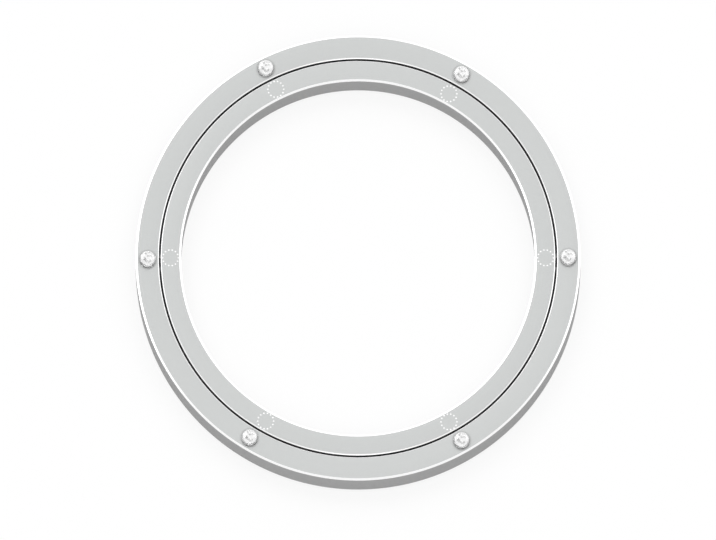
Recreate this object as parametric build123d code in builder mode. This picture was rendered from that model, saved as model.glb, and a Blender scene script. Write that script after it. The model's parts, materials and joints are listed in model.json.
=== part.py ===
"""Flat ring bearing for a turntable: two concentric aluminium rings on one caged row of steel balls.

The inner ring stands on soft pads and stays still. The outer ring turns around it on the balls, and carries
the turntable on soft pads of its own. Millimetres, +Z up, the origin on the turning axis at table level.
"""

import os
from math import cos, radians, sin

from build123d import *

# Balls and raceway
pitch_diameter = 267.5  # circle through the ball centres, which is also the middle of the seam
ball_diameter = 5.0
ball_count = 24
race_clearance = 0.2  # ball to groove
race_lip = 1.55  # metal above and below the groove

# Ball cage
cage_thickness = 0.7
cage_clearance = 0.3  # cage to each ring
cage_bridge = 0.6  # strip left above and below each window
window_clearance = 0.2  # ball to window

# Rings
outer_ring_width = 15.6
inner_ring_width = 13.75
edge_bevel_width = 1.15  # bright bevel along the rim and the bore, measured across the face
edge_bevel_depth = 0.3
seam_bevel_width = 0.5
seam_bevel_depth = 0.3

# Ball filling hole with its plug and pin, in the back of the outer ring
fill_step = 0.1  # how much smaller the hole is than the groove
plug_clearance = 0.02
plug_recess = 0.3
plug_chamfer = 0.3
pin_diameter = 2.0
pin_clearance = 0.02
pin_reach = 1.2  # past the middle of the plug
pin_recess = 0.25

# Soft pads, stuck on by hand and so not quite evenly spaced, in degrees from +X
pad_diameter = 11.0
pad_height = 2.4
pad_skirt = 0.5
pad_flat_diameter = 4.0
top_pad_angles = (0, 60.5, 116, 180.5, 239, 299.5)
base_pad_angles = (0, 61, 116, 180, 240.5, 299)

# Ring of punched dots over each base pad, on the top of the inner ring
dot_count = 14
dot_diameter = 1.1
dot_depth = 0.3
dot_inset = 0.15  # dot circle inside the pad outline

# Sizes that follow
ball_radius = ball_diameter / 2
race_radius = ball_radius + race_clearance
ring_height = 2 * (race_radius + race_lip)
seam_gap = cage_thickness + 2 * cage_clearance
pitch_radius = pitch_diameter / 2
outer_seam_radius = pitch_radius + seam_gap / 2
inner_seam_radius = pitch_radius - seam_gap / 2
rim_radius = outer_seam_radius + outer_ring_width
bore_radius = inner_seam_radius - inner_ring_width

ring_bottom = pad_height
ring_middle = ring_bottom + ring_height / 2
ring_top = ring_bottom + ring_height

window_radius = ball_radius + window_clearance
cage_height = 2 * (window_radius + cage_bridge)

fill_hole_radius = race_radius - fill_step
pin_radius = pin_diameter / 2
pin_hole_radius = pin_radius + pin_clearance
pin_hole_depth = ring_height / 2 + pin_reach
pin_distance = (pitch_radius + race_radius + rim_radius) / 2

pad_radius = pad_diameter / 2
pad_flat_radius = pad_flat_diameter / 2
top_pad_distance = (outer_seam_radius + seam_bevel_width + rim_radius - edge_bevel_width) / 2
base_pad_distance = (inner_seam_radius - seam_bevel_width + bore_radius + edge_bevel_width) / 2

# Planes: half sections lie in the first, the filling hole starts on the second, its pin on the third
section_plane = Plane(origin=(0, 0, ring_middle), x_dir=(1, 0, 0), z_dir=(0, -1, 0))
fill_plane = Plane(origin=(0, rim_radius, ring_middle), x_dir=(-1, 0, 0), z_dir=(0, 1, 0))
pin_plane = Plane(origin=(0, pin_distance, ring_bottom))


def around(distance, angle, height):
    """Point at a distance and an angle from the turning axis."""
    return Vector(distance * cos(radians(angle)), distance * sin(radians(angle)), height)


def ring_section(seam_radius, edge_radius):
    """Half section of a ring with its ball groove, from the seam to the free edge."""
    to_edge = 1 if edge_radius > seam_radius else -1
    with BuildSketch(section_plane) as section:
        with BuildLine():
            Polyline(
                (seam_radius, 0),
                (seam_radius, ring_height / 2 - seam_bevel_depth),
                (seam_radius + to_edge * seam_bevel_width, ring_height / 2),
                (edge_radius - to_edge * edge_bevel_width, ring_height / 2),
                (edge_radius, ring_height / 2 - edge_bevel_depth),
                (edge_radius, 0),
            )
            mirror(about=Plane.XZ)
        make_face()
        with Locations((pitch_radius, 0)):
            Circle(race_radius, mode=Mode.SUBTRACT)
    return section.sketch


def soft_pad(distance, angle, seat_height, way):
    """Pad stuck to a ring face: a short skirt, a low dome and a small flat, facing up (1) or down (-1)."""
    seat = around(distance, angle, seat_height)
    outward = around(1, angle, 0)
    with BuildPart() as pad:
        with BuildSketch(Plane(origin=seat, x_dir=outward, z_dir=outward.cross(Vector(0, 0, way)))):
            with BuildLine():
                Polyline(
                    (pad_flat_radius, pad_height),
                    (0, pad_height),
                    (0, 0),
                    (pad_radius, 0),
                    (pad_radius, pad_skirt),
                )
                TangentArc((pad_flat_radius, pad_height), (pad_radius, pad_skirt), tangent=(1, 0))
            make_face()
        revolve(axis=Axis(seat, (0, 0, way)))
    return pad


os.makedirs("parts", exist_ok=True)

# Inner ring, the still one, with dots that show where its pads are
with BuildPart() as inner_ring:
    revolve(ring_section(inner_seam_radius, bore_radius), axis=Axis.Z)
    with Locations([around(base_pad_distance, angle, ring_top) for angle in base_pad_angles]):
        with PolarLocations(pad_radius - dot_inset, dot_count):
            Cone(
                bottom_radius=0,
                top_radius=dot_diameter / 2,
                height=dot_depth,
                align=(Align.CENTER, Align.CENTER, Align.MAX),
                mode=Mode.SUBTRACT,
            )
inner_ring.part.label = "inner_ring"
export_step(inner_ring.part, "parts/inner_ring.step")

# Outer ring, the turning one, with the ball filling hole and the pin hole that crosses it
with BuildPart() as outer_ring:
    revolve(ring_section(outer_seam_radius, rim_radius), axis=Axis.Z)
    with BuildSketch(fill_plane):
        Circle(fill_hole_radius)
    extrude(amount=pitch_radius - rim_radius, mode=Mode.SUBTRACT)
    with BuildSketch(pin_plane):
        Circle(pin_hole_radius)
    extrude(amount=pin_hole_depth, mode=Mode.SUBTRACT)
outer_ring.part.label = "outer_ring"
export_step(outer_ring.part, "parts/outer_ring.step")

# Plug of the filling hole, its inner end hollowed to carry on the groove
with BuildPart() as fill_plug:
    with BuildSketch(fill_plane.offset(-plug_recess)):
        Circle(fill_hole_radius - plug_clearance)
    extrude(amount=pitch_radius - rim_radius + plug_recess)
    chamfer(fill_plug.edges().sort_by(Axis.Y)[-1], plug_chamfer)
    with Locations((0, 0, ring_middle)):
        Torus(pitch_radius, race_radius, mode=Mode.SUBTRACT)
    with BuildSketch(pin_plane):
        Circle(pin_hole_radius)
    extrude(amount=pin_hole_depth, mode=Mode.SUBTRACT)
fill_plug.part.label = "fill_plug"
export_step(fill_plug.part, "parts/fill_plug.step")

# Pin that locks the plug, driven in from below
with BuildPart() as plug_pin:
    with BuildSketch(pin_plane.offset(pin_recess)):
        Circle(pin_radius)
    extrude(amount=pin_hole_depth - 2 * pin_recess)
    chamfer(plug_pin.edges().filter_by(GeomType.CIRCLE), pin_recess)
plug_pin.part.label = "plug_pin"
export_step(plug_pin.part, "parts/plug_pin.step")

# Cage, a thin strip in the seam with a round window for each ball
with BuildPart(Plane.XY.offset(ring_middle)) as ball_cage:
    with BuildSketch(section_plane):
        with Locations((pitch_radius, 0)):
            Rectangle(cage_thickness, cage_height)
    revolve(axis=Axis.Z)
    with PolarLocations(pitch_radius, ball_count):
        Cylinder(window_radius, 2 * seam_gap, rotation=(0, 90, 0), mode=Mode.SUBTRACT)
ball_cage.part.label = "ball_cage"
export_step(ball_cage.part, "parts/ball_cage.step")

# Balls, one in each window
for index in range(ball_count):
    with BuildPart(Plane(around(pitch_radius, index * 360 / ball_count, ring_middle))) as ball:
        Sphere(ball_radius)
    ball.part.label = f"ball_{index + 1:02d}"
    export_step(ball.part, f"parts/{ball.part.label}.step")

# Pads on the outer ring, for the turntable
for index, angle in enumerate(top_pad_angles):
    top_pad = soft_pad(top_pad_distance, angle, ring_top, 1)
    top_pad.part.label = f"top_pad_{index + 1}"
    export_step(top_pad.part, f"parts/{top_pad.part.label}.step")

# Pads under the inner ring, for the table
for index, angle in enumerate(base_pad_angles):
    base_pad = soft_pad(base_pad_distance, angle, ring_bottom, -1)
    base_pad.part.label = f"base_pad_{index + 1}"
    export_step(base_pad.part, f"parts/{base_pad.part.label}.step")
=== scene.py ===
import json
import math

import bmesh
import bpy
from mathutils import Matrix, Vector


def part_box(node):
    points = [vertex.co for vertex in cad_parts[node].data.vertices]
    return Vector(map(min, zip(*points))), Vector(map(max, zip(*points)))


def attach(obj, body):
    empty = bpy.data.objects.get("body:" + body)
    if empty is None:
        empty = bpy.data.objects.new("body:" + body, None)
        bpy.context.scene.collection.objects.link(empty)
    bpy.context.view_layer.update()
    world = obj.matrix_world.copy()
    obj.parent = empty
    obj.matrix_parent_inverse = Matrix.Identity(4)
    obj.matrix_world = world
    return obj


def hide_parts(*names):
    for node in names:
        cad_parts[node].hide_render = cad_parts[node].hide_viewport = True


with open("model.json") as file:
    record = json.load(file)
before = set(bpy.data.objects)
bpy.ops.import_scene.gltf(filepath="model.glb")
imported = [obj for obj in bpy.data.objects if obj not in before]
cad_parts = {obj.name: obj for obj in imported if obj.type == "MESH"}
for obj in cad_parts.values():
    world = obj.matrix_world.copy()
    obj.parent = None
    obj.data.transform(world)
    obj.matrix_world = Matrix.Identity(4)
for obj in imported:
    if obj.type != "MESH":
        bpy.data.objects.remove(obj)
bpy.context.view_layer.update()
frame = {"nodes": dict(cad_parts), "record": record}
nodes = frame["nodes"]
scene = bpy.context.scene
mm = 0.001


def radius_range(node):
    """Nearest and farthest distance of a node from the turning axis."""
    distances = [vertex.co.xy.length for vertex in nodes[node].data.vertices]
    return min(distances), max(distances)


def middle(node):
    """Middle of a node's box."""
    low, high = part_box(node)
    return (low + high) / 2


def grey(value):
    return (value, value, value)


# Sizes read from the frame
bore_radius, inner_seam_radius = radius_range("inner_ring")
outer_seam_radius, rim_radius = radius_range("outer_ring")
ring_bottom, ring_top = (corner.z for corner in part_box("outer_ring"))
ring_height = ring_top - ring_bottom
ring_middle = (ring_bottom + ring_top) / 2
pitch_radius = (inner_seam_radius + outer_seam_radius) / 2
pad_names = [name for name in nodes if "_pad_" in name]
pad_low, pad_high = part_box("top_pad_1")
pad_radius = (pad_high.x - pad_low.x) / 2
pad_height = pad_high.z - pad_low.z

# Sizes of the solids that their boxes don't give
race_radius = 2.7 * mm
edge_bevel_width = 1.15 * mm
edge_bevel_depth = 0.3 * mm
seam_bevel_width = 0.5 * mm
seam_bevel_depth = 0.3 * mm
fill_hole_radius = 2.6 * mm
pin_hole_radius = 1.02 * mm
pin_hole_depth = 5.45 * mm
pad_skirt = 0.5 * mm
pad_flat_radius = 2.0 * mm
dot_count = 14
dot_radius = 0.55 * mm
dot_depth = 0.3 * mm
dot_inset = 0.15 * mm

# Details that only show close up
edge_break = 0.1 * mm  # broken edges of the rings
pad_round = 0.2 * mm  # rounded edges of the pads
pad_lift = 0.03 * mm  # thickness of the glue under the pads

# Fineness of the meshes
ring_segments = 512
pad_segments = 96
hole_segments = 64
floor_segments = 64
dot_segments = 24
arc_steps = 24
break_steps = 3
sharp_angle = math.radians(10)
merge_distance = 0.001 * mm

# Finish of the aluminium: lines round the axis, left by the lathe, and the grain of the satin
fine_lines_per_metre = 3000.0
broad_lines_per_metre = 700.0
grain_per_metre = 3500.0
fine_share = 0.5
broad_share = 0.15
grain_share = 0.35
marks_range = (0.38, 0.62)  # from the darkest to the lightest mark
marks_strength = 0.5

# Look of the pads: adhesive that lies tight on the metal in patches, painted shade along their edge, and a
# painted shadow round them
patches_per_metre = 420.0
patch_detail = 0.5
patch_seed = 24.0
patch_range = (0.41, 0.65)
patch_edge_from = 3.2 * mm
patch_edge_to = 4.2 * mm
pad_edge_from = 4.45 * mm
pad_edge_to = 5.05 * mm
loose_adhesive = grey(0.98)
tight_adhesive = grey(0.05)
# Grey of the painted shade along the edge of each pad's adhesive
painted_edge_shade = grey(0.6)
clearness_range = (0.25, 0.8)  # from loose adhesive to tight
clouds_per_metre = 900.0
cloud_tones = (grey(0.98), grey(1.0))
# Painted shadow round the foot of each pad, on the rings: where it starts and ends, how strong and how dark
pad_shadow_from = 5.6 * mm
pad_shadow_to = 7.4 * mm
pad_shadow_share = 0.4
pad_shadow_colour = grey(0.25)

# Look of the other pieces and of the floor
plain_grain_per_metre = 1500.0
plain_detail = 3.0
plain_shade = 0.9
floor_grain_per_metre = 40.0
floor_tones = (grey(0.87), grey(0.88))

# Camera, as in the photograph: faces drawn as true circles, walls drawn straight down
image_width = 716
image_height = 540
ring_centre_px = (358.0, 257.75)
rim_radius_px = 222.3
wall_drop_px = 9.25
wall_height = ring_height - 2 * edge_bevel_depth
camera_distance = 4.0

# Studio: a white room, brighter overhead, a floor that glows a little where seen, and soft distant lamps
floor_radius = 12.0
cove_radius = 1.0
backdrop_height = 1.5
floor_glow = 0.8
side_strength = 0.35
overhead_strength = 0.96
overhead_from = 0.8  # sine of the elevation
ends_share = 0.3  # how much the room brightens from its sides towards its front and back
lamps = {  # direction of the lamp, strength, spread in degrees
    "key": ((-0.45, 0.68, 0.58), 0.46, 40),
    "fill": ((0.55, 0.62, 0.56), 0.28, 40),
    "front": ((0.0, -0.75, 0.65), 0.4, 40),
    "back": ((0.0, 0.93, 0.36), 0.12, 36),
}


class Shader:
    """Nodes of a material or a world under construction: adds them, sets their values and links them."""

    def __init__(self, owner):
        owner.use_nodes = True
        self.owner = owner
        self.tree = owner.node_tree

    def put(self, socket, value):
        """Links a socket to another one, or gives it a value."""
        if isinstance(value, bpy.types.NodeSocket):
            self.tree.links.new(value, socket)
        elif socket.type == "RGBA":
            socket.default_value = (*value, 1)
        else:
            socket.default_value = value

    def set(self, **values):
        """Sets sockets of the surface, by their names with underscores."""
        sockets = self.tree.nodes["Principled BSDF"].inputs
        for key, value in values.items():
            self.put(sockets[key.replace("_", " ").title().replace("Ior", "IOR")], value)

    def node(self, kind, output=0, inputs=None, **settings):
        made = self.tree.nodes.new(kind)
        for key, value in settings.items():
            setattr(made, key, value)
        for key, value in (inputs or {}).items():
            self.put(made.inputs[key], value)
        return made.outputs[output]

    def math(self, operation, a, b=0.0):
        return self.node("ShaderNodeMath", operation=operation, inputs={0: a, 1: b})

    def ramp(self, value, low, high, to_low=0.0, to_high=1.0):
        return self.node(
            "ShaderNodeMapRange",
            interpolation_type="SMOOTHSTEP",
            inputs={"Value": value, "From Min": low, "From Max": high, "To Min": to_low, "To Max": to_high},
        )

    def mix(self, factor, a, b):
        """Mix of two colours."""
        return self.node("ShaderNodeMix", output=2, data_type="RGBA", inputs={0: factor, 6: a, 7: b})

    def place(self):
        return self.node("ShaderNodeTexCoord", output="Object")

    def axis(self, letter, place):
        return self.node("ShaderNodeSeparateXYZ", output=letter, inputs={0: place})

    def axis_distance(self):
        """Distance from the Z axis of the piece."""
        flat = self.node("ShaderNodeVectorMath", operation="MULTIPLY", inputs={0: self.place(), 1: (1, 1, 0)})
        return self.node("ShaderNodeVectorMath", output="Value", operation="LENGTH", inputs={0: flat})

    def noise(self, scale, detail=2.0, seed=0.0):
        inputs = {"Vector": self.place(), "W": seed, "Scale": scale, "Detail": detail}
        return self.node("ShaderNodeTexNoise", noise_dimensions="4D", inputs=inputs)

    def turning_lines(self, lines_per_metre):
        """Lines round the axis, left by the lathe."""
        across = self.math("ADD", self.axis_distance(), self.axis("Z", self.place()))
        along = self.math("MULTIPLY", across, lines_per_metre)
        return self.node("ShaderNodeTexNoise", noise_dimensions="1D", inputs={"W": along})


def new_material(name):
    return Shader(bpy.data.materials.new(name))


def pad_seat(name):
    """Middle of the face of a pad that is stuck to a ring."""
    seat = middle(name)
    seat.z = ring_top if name.startswith("top") else ring_bottom
    return seat


def painted_shadow_round_pads(shader):
    """Painted shadow: a faint dark line round the foot of each pad, as a share."""
    nearest = pad_shadow_to
    for name in pad_names:
        inputs = {0: shader.place(), 1: pad_seat(name)}
        distance = shader.node("ShaderNodeVectorMath", output="Value", operation="DISTANCE", inputs=inputs)
        nearest = shader.math("MINIMUM", distance, nearest)
    return shader.ramp(nearest, pad_shadow_from, pad_shadow_to, pad_shadow_share, 0.0)


def turned_aluminium(name, dark, light, metallic, roughness, line_height, gloss=0.5):
    """Aluminium off the lathe: fine and broad lines round the axis, the grain of a satin finish, and a
    painted shadow round the pads.
    """
    shader = new_material(name)
    grain = shader.math("MULTIPLY", shader.noise(grain_per_metre), grain_share)
    fine = shader.math("MULTIPLY", shader.turning_lines(fine_lines_per_metre), fine_share)
    broad = shader.math("MULTIPLY", shader.turning_lines(broad_lines_per_metre), broad_share)
    marks = shader.math("ADD", shader.math("ADD", fine, grain), broad)
    bump_inputs = {"Strength": marks_strength, "Distance": line_height, "Height": marks}
    clean = shader.mix(shader.ramp(marks, *marks_range), dark, light)
    shader.set(
        # The painted shadow round the pads darkens the colour here
        base_color=shader.mix(painted_shadow_round_pads(shader), clean, pad_shadow_colour),
        metallic=metallic,
        specular_ior_level=gloss,
        roughness=shader.ramp(marks, *marks_range, *roughness),
        normal=shader.node("ShaderNodeBump", inputs=bump_inputs),
    )
    return shader.owner


def plain(name, colour, **values):
    """Material of one colour, a little uneven."""
    shader = new_material(name)
    darker = tuple(plain_shade * channel for channel in colour)
    grain = shader.noise(plain_grain_per_metre, plain_detail)
    shader.set(base_color=shader.mix(grain, darker, colour), **values)
    return shader.owner


def patches(shader):
    """Soft patches where the adhesive of a pad lies tight on the metal, away from its edge."""
    tight = shader.ramp(shader.noise(patches_per_metre, patch_detail, patch_seed), *patch_range)
    inside = shader.ramp(shader.axis_distance(), patch_edge_from, patch_edge_to, 1.0, 0.0)
    return shader.math("MULTIPLY", tight, inside)


def pad_edge(shader):
    """From 0 on a pad to 1 along its edge."""
    return shader.ramp(shader.axis_distance(), pad_edge_from, pad_edge_to)


def pad_adhesive():
    """White over air, grey in the patches that lie tight on the metal, and a painted shade along its edge."""
    shader = new_material("pad_adhesive")
    clean = shader.mix(patches(shader), loose_adhesive, tight_adhesive)
    # Painted shade along the edge of the adhesive
    shader.set(base_color=shader.mix(pad_edge(shader), clean, painted_edge_shade), roughness=0.8)
    return shader.owner


def clear_silicone():
    """Glossy, a little milky, and clearest at the rim and over the patches of adhesive that lie tight."""
    shader = new_material("clear_silicone")
    clearness = shader.ramp(patches(shader), 0.0, 1.0, *clearness_range)
    shader.set(
        base_color=shader.mix(shader.noise(clouds_per_metre), *cloud_tones),
        roughness=0.03,
        ior=1.45,
        transmission_weight=shader.math("MAXIMUM", pad_edge(shader), clearness),
        coat_weight=1.0,
        coat_ior=2.2,
        coat_roughness=0.2,
    )
    return shader.owner


finishes = {
    "face": turned_aluminium(
        "satin_face",
        dark=(0.481, 0.492, 0.488),
        light=(0.589, 0.6, 0.596),
        metallic=0.8,
        roughness=(0.5, 0.42),
        line_height=0.01 * mm,
    ),
    "bevel": turned_aluminium(
        "bright_bevel",
        dark=grey(0.94),
        light=grey(1.0),
        metallic=1.0,
        roughness=(0.26, 0.18),
        line_height=0.002 * mm,
    ),
    "chamfer": turned_aluminium(
        "seam_chamfer",
        dark=grey(0.92),
        light=grey(1.0),
        metallic=1.0,
        roughness=(0.3, 0.22),
        line_height=0.002 * mm,
    ),
    "dot": turned_aluminium(
        "punched_dot",
        dark=grey(0.8),
        light=grey(0.88),
        metallic=1.0,
        roughness=(0.36, 0.28),
        line_height=0.002 * mm,
    ),
    # Walls: matt, and a darker grey than the faces, which is painted shade
    "wall": turned_aluminium(
        "matt_wall_painted_shade",
        dark=grey(0.3),
        light=grey(0.4),
        metallic=0.2,
        roughness=(0.6, 0.5),
        line_height=0.015 * mm,
        gloss=0.1,
    ),
    # Lands of the seam: near black, painted shade in the narrow gap between the rings
    "land": turned_aluminium(
        "painted_shade_land",
        dark=grey(0.03),
        light=grey(0.05),
        metallic=0.0,
        roughness=(0.5, 0.3),
        line_height=0.01 * mm,
    ),
    "race": turned_aluminium(
        "polished_race",
        dark=grey(0.3),
        light=grey(0.36),
        metallic=1.0,
        roughness=(0.3, 0.2),
        line_height=0.001 * mm,
    ),
}


def make_mesh(name, points, faces):
    """Object from points and faces, with its normals outward."""
    mesh = bpy.data.meshes.new(name)
    mesh.from_pydata(points, [], faces)
    shape = bmesh.new()
    shape.from_mesh(mesh)
    bmesh.ops.recalc_face_normals(shape, faces=shape.faces)
    shape.to_mesh(mesh)
    shape.free()
    piece = bpy.data.objects.new(name, mesh)
    scene.collection.objects.link(piece)
    return piece


def smooth(piece):
    """Smooth shading, except over sharp edges."""
    piece.data.shade_smooth()
    piece.data.set_sharp_from_angle(angle=sharp_angle)


def arc(centre, radius, start, end):
    """Points along an arc in the section plane, both ends included."""
    angles = [start + (end - start) * step / arc_steps for step in range(arc_steps + 1)]
    return [centre + radius * Vector((math.cos(angle), math.sin(angle))) for angle in angles]


def eased(before, corner, after, reach):
    """The points that round a corner of a section off, starting and ending at that reach from it."""
    start = corner + reach * (before - corner).normalized()
    end = corner + reach * (after - corner).normalized()
    steps = [step / break_steps for step in range(break_steps + 1)]
    return [(1 - t) ** 2 * start + 2 * t * (1 - t) * corner + t**2 * end for t in steps]


def turned(name, profile, segments, closed=False):
    """Object turned about the Z axis. Points of the profile that lie on the axis are made once."""
    points = []
    rows = []
    for place in profile:
        on_axis = place.x == 0
        angles = [0.0] if on_axis else [2 * math.pi * segment / segments for segment in range(segments)]
        rows.append([len(points) + (0 if on_axis else segment) for segment in range(segments)])
        points += [(place.x * math.cos(angle), place.x * math.sin(angle), place.y) for angle in angles]
    following_rows = rows[1:] + rows[:1] if closed else rows[1:]
    faces = []
    for here, there in zip(rows, following_rows):
        for segment in range(segments):
            following = (segment + 1) % segments
            corners = (here[segment], there[segment], there[following], here[following])
            faces.append(tuple(dict.fromkeys(corners)))
    return make_mesh(name, points, faces)


def ring_section(seam_radius, edge_radius):
    """Closed half section of a ring about its middle, as (point, finish of the stretch after it)."""
    way = math.copysign(1, edge_radius - seam_radius)
    half = ring_height / 2
    half_turn = math.acos(abs(seam_radius - pitch_radius) / race_radius)
    groove_half = race_radius * math.sin(half_turn)
    corners = [
        (Vector((seam_radius, groove_half)), "land"),
        (Vector((seam_radius, half - seam_bevel_depth)), "chamfer"),
        (Vector((seam_radius + way * seam_bevel_width, half)), "face"),
        (Vector((edge_radius - way * edge_bevel_width, half)), "bevel"),
        (Vector((edge_radius, half - edge_bevel_depth)), "wall"),
        (Vector((edge_radius, edge_bevel_depth - half)), "bevel"),
        (Vector((edge_radius - way * edge_bevel_width, -half)), "face"),
        (Vector((seam_radius + way * seam_bevel_width, -half)), "chamfer"),
        (Vector((seam_radius, seam_bevel_depth - half)), "land"),
        (Vector((seam_radius, -groove_half)), "race"),
    ]
    section = [corners[0]]
    for (before, _), (corner, finish), (after, _) in zip(corners, corners[1:], corners[2:]):
        *rounding, last = eased(before, corner, after, edge_break)
        section += [(point, "bevel") for point in rounding]
        section.append((last, finish))
    section.append(corners[-1])
    into_ring = 0 if way > 0 else math.pi
    pitch = Vector((pitch_radius, 0))
    groove = arc(pitch, race_radius, into_ring - way * half_turn, into_ring + way * half_turn)
    return section + [(point, "race") for point in groove[1:-1]]


def turned_ring(name, seam_radius, edge_radius):
    """Ring without its dots and holes, with the finish of each stretch of its section."""
    section = ring_section(seam_radius, edge_radius)
    lifted = [point + Vector((0, ring_middle)) for point, _ in section]
    ring = turned(name, lifted, ring_segments, closed=True)
    names = list(finishes)
    for finish in names:
        ring.data.materials.append(finishes[finish])
    for polygon in ring.data.polygons:
        polygon.material_index = names.index(section[polygon.index // ring_segments][1])
    return ring


def cones(name, bottom_radius, top_radius, depth, places, segments):
    """Cones or cylinders in one mesh, each with its middle at one of the places."""
    shape = bmesh.new()
    for place in places:
        bmesh.ops.create_cone(
            shape,
            cap_ends=True,
            segments=segments,
            radius1=bottom_radius,
            radius2=top_radius,
            depth=depth,
            matrix=place,
        )
    bmesh.ops.remove_doubles(shape, verts=shape.verts, dist=merge_distance)
    mesh = bpy.data.meshes.new(name)
    shape.to_mesh(mesh)
    shape.free()
    cutter = bpy.data.objects.new(name, mesh)
    scene.collection.objects.link(cutter)
    return cutter


def cut(ring, cutter, finish):
    """Cuts the cutter's volume out of a ring, with that finish on the cut faces."""
    cutter.data.materials.append(finishes[finish])
    modifier = ring.modifiers.new("cut", "BOOLEAN")
    modifier.object = cutter
    modifier.operation = "DIFFERENCE"
    modifier.solver = "EXACT"
    modifier.material_mode = "TRANSFER"
    evaluated = ring.evaluated_get(bpy.context.evaluated_depsgraph_get())
    ring.data = bpy.data.meshes.new_from_object(evaluated)
    ring.modifiers.clear()
    bpy.data.objects.remove(cutter)


def drill(ring, name, radius, depth, mouth):
    """Cuts a round hole of that depth into a ring. The cutter's middle lies in the mouth of the hole."""
    cut(ring, cones(name, radius, radius, 2 * depth, [mouth], hole_segments), "wall")


def dot_places():
    """Places of the punched dots, in a circle over each base pad."""
    places = []
    for name in pad_names:
        if name.startswith("base"):
            centre = middle(name)
            centre.z = ring_top
            for dot in range(dot_count):
                turn = Matrix.Rotation(2 * math.pi * dot / dot_count, 4, "Z")
                places.append(Matrix.Translation(centre + turn @ Vector((pad_radius - dot_inset, 0, 0))))
    return places


def finish_ring(ring, body, node):
    """Shades a ring and puts it in the place of its CAD node."""
    smooth(ring)
    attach(ring, body)
    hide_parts(node)


def make_inner_ring():
    """The still ring, with its dots: cones that reach as far over the face as into it."""
    ring = turned_ring("turned_inner_ring", inner_seam_radius, bore_radius)
    cut(ring, cones("dots", 0.0, 2 * dot_radius, 2 * dot_depth, dot_places(), dot_segments), "dot")
    finish_ring(ring, "base", "inner_ring")


def make_outer_ring():
    """The turning ring, with the hole for the balls at the back and the hole of its pin from below."""
    ring = turned_ring("turned_outer_ring", outer_seam_radius, rim_radius)
    fill_mouth = Matrix.Translation((0, rim_radius, ring_middle)) @ Matrix.Rotation(-math.pi / 2, 4, "X")
    drill(ring, "fill_hole", fill_hole_radius, rim_radius - pitch_radius, fill_mouth)
    pin = middle("plug_pin")
    pin_mouth = Matrix.Translation((pin.x, pin.y, ring_bottom))
    drill(ring, "pin_hole", pin_hole_radius, pin_hole_depth, pin_mouth)
    finish_ring(ring, "turntable", "outer_ring")


def pad_section():
    """Half section of a pad, from the middle of its seat over the dome to the middle of its top."""
    drop = pad_height - pad_skirt
    reach = pad_radius - pad_flat_radius
    dome_radius = (reach**2 + drop**2) / (2 * drop)
    dome_centre = Vector((pad_flat_radius, pad_height - dome_radius))
    dome = arc(dome_centre, dome_radius, math.atan2(pad_skirt - dome_centre.y, reach), math.pi / 2)
    seat = Vector((0, pad_lift))
    foot = Vector((pad_radius, pad_lift))
    shoulder = dome[0]
    above = [point for point in dome if (point - shoulder).length > pad_round]
    return [
        seat,
        *eased(seat, foot, shoulder, pad_round),
        *eased(foot, shoulder, above[0], pad_round),
        *above,
        Vector((0, pad_height)),
    ]


def make_pads():
    """Soft pads, with adhesive on the first faces of each, which are its seat."""
    silicone = clear_silicone()
    adhesive = pad_adhesive()
    section = pad_section()
    for name in pad_names:
        on_top = name.startswith("top")
        pad = turned("soft_" + name, section, pad_segments)
        pad.data.materials.append(silicone)
        pad.data.materials.append(adhesive)
        for polygon in pad.data.polygons:
            polygon.material_index = int(polygon.index < pad_segments)
        smooth(pad)
        flip = Matrix.Identity(4) if on_top else Matrix.Rotation(math.pi, 4, "X")
        pad.matrix_world = Matrix.Translation(pad_seat(name)) @ flip
        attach(pad, "turntable" if on_top else "base")
        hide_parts(name)


def dress():
    """Gives the CAD pieces that show their materials."""
    materials = {
        # Satin aluminium pieces take the walls' finish, with its painted shade
        "satin_aluminium": finishes["wall"],
        "dowel_steel": plain("dowel_steel", (0.55, 0.55, 0.56), metallic=1.0, roughness=0.3),
        "black_nylon": plain("black_nylon", (0.012, 0.012, 0.013), roughness=0.6, specular_ior_level=0.2),
        "bearing_steel": plain("bearing_steel", (0.75, 0.75, 0.76), metallic=1.0, roughness=0.08),
    }
    for row in frame["record"]["subparts"]:
        piece = nodes[row["node"]]
        if not piece.hide_render:
            piece.data.materials.clear()
            piece.data.materials.append(materials[row["material_slot"]])


def white_floor():
    """White, with a glow that only rays from the camera and off glossy or clear surfaces see."""
    shader = new_material("white_floor")
    tone = shader.mix(shader.noise(floor_grain_per_metre), *floor_tones)
    shader.set(base_color=tone, roughness=1.0, specular_ior_level=0.0)
    rays = shader.tree.nodes.new("ShaderNodeLightPath").outputs
    seen = shader.math("MAXIMUM", rays["Is Camera Ray"], rays["Is Glossy Ray"])
    seen = shader.math("MAXIMUM", seen, rays["Is Transmission Ray"])
    share = shader.math("MULTIPLY", seen, floor_glow)
    surface = shader.tree.nodes["Principled BSDF"].outputs[0]
    glow = shader.node("ShaderNodeEmission", inputs={"Color": grey(1.0), "Strength": 1.0})
    mixed = shader.node("ShaderNodeMixShader", inputs={0: share, 1: surface, 2: glow})
    shader.put(shader.tree.nodes["Material Output"].inputs["Surface"], mixed)
    return shader.owner


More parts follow.
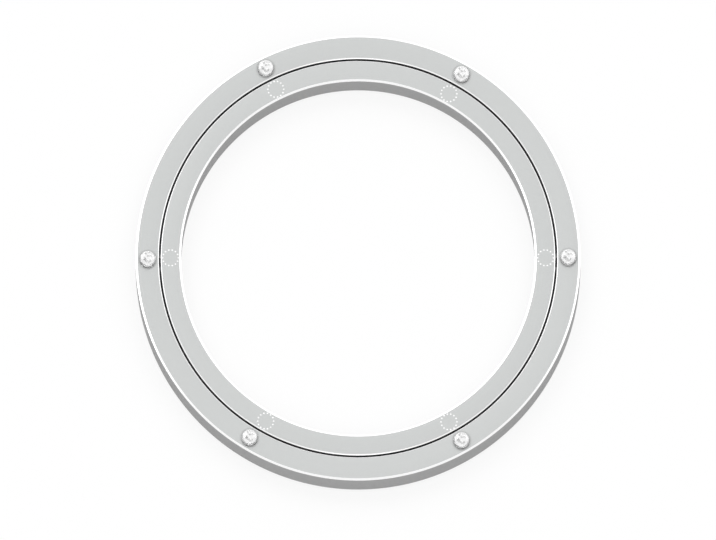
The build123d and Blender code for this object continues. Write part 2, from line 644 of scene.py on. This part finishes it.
def make_floor():
    """Round floor that rises in a cove to a low backdrop."""
    cove = arc(Vector((floor_radius, cove_radius)), cove_radius, -math.pi / 2, 0)
    profile = [Vector((0, 0)), *cove, Vector((floor_radius + cove_radius, backdrop_height))]
    floor = turned("floor", profile, floor_segments)
    smooth(floor)
    floor.data.materials.append(white_floor())


def make_room():
    """The room: brighter overhead and towards its front and back, and white below the horizon."""
    scene.world = bpy.data.worlds.new("studio")
    room = Shader(scene.world)
    towards = room.node("ShaderNodeTexCoord", output="Generated")
    depth = room.math("ABSOLUTE", room.axis("Y", towards))
    rise = room.axis("Z", towards)
    opening = room.math("ADD", rise, room.math("MULTIPLY", depth, ends_share))
    above = room.ramp(opening, 0.0, overhead_from, side_strength, overhead_strength)
    below = room.math("LESS_THAN", rise, 0.0)
    background = room.tree.nodes["Background"].inputs
    room.put(background["Color"], grey(1.0))
    room.put(background["Strength"], room.math("MAXIMUM", above, below))


def make_lamps():
    for name, (direction, strength, spread) in lamps.items():
        light = bpy.data.lights.new(name, "SUN")
        light.energy = strength
        light.angle = math.radians(spread)
        lamp = bpy.data.objects.new(name, light)
        lamp.rotation_euler = Vector(direction).to_track_quat("Z", "Y").to_euler()
        scene.collection.objects.link(lamp)


def make_camera():
    """Parallel oblique camera: its picture plane lies level with the rings, and its line of sight leans."""
    metres_per_px = rim_radius / rim_radius_px
    lean = wall_drop_px * metres_per_px / wall_height
    away = Vector((0, -lean, 1)).normalized()
    across_px = image_width / 2 - ring_centre_px[0]
    up_px = ring_centre_px[1] - image_height / 2
    target = Vector((across_px * metres_per_px, up_px * metres_per_px, ring_top))
    camera = bpy.data.objects.new("camera", bpy.data.cameras.new("camera"))
    camera.data.type = "ORTHO"
    camera.data.ortho_scale = image_width * metres_per_px
    holder = bpy.data.objects.new("camera_holder", None)
    for item in (camera, holder):
        scene.collection.objects.link(item)
    camera.parent = holder
    leaning_axes = Matrix(((1, 0, away.x, 0), (0, 1, away.y, 0), (0, 0, away.z, 0), (0, 0, 0, 1)))
    camera.matrix_parent_inverse = Matrix.Translation(target + camera_distance * away) @ leaning_axes
    scene.camera = camera


scene.view_settings.view_transform = "Standard"
make_inner_ring()
make_outer_ring()
make_pads()
dress()
make_floor()
make_room()
make_lamps()
make_camera()
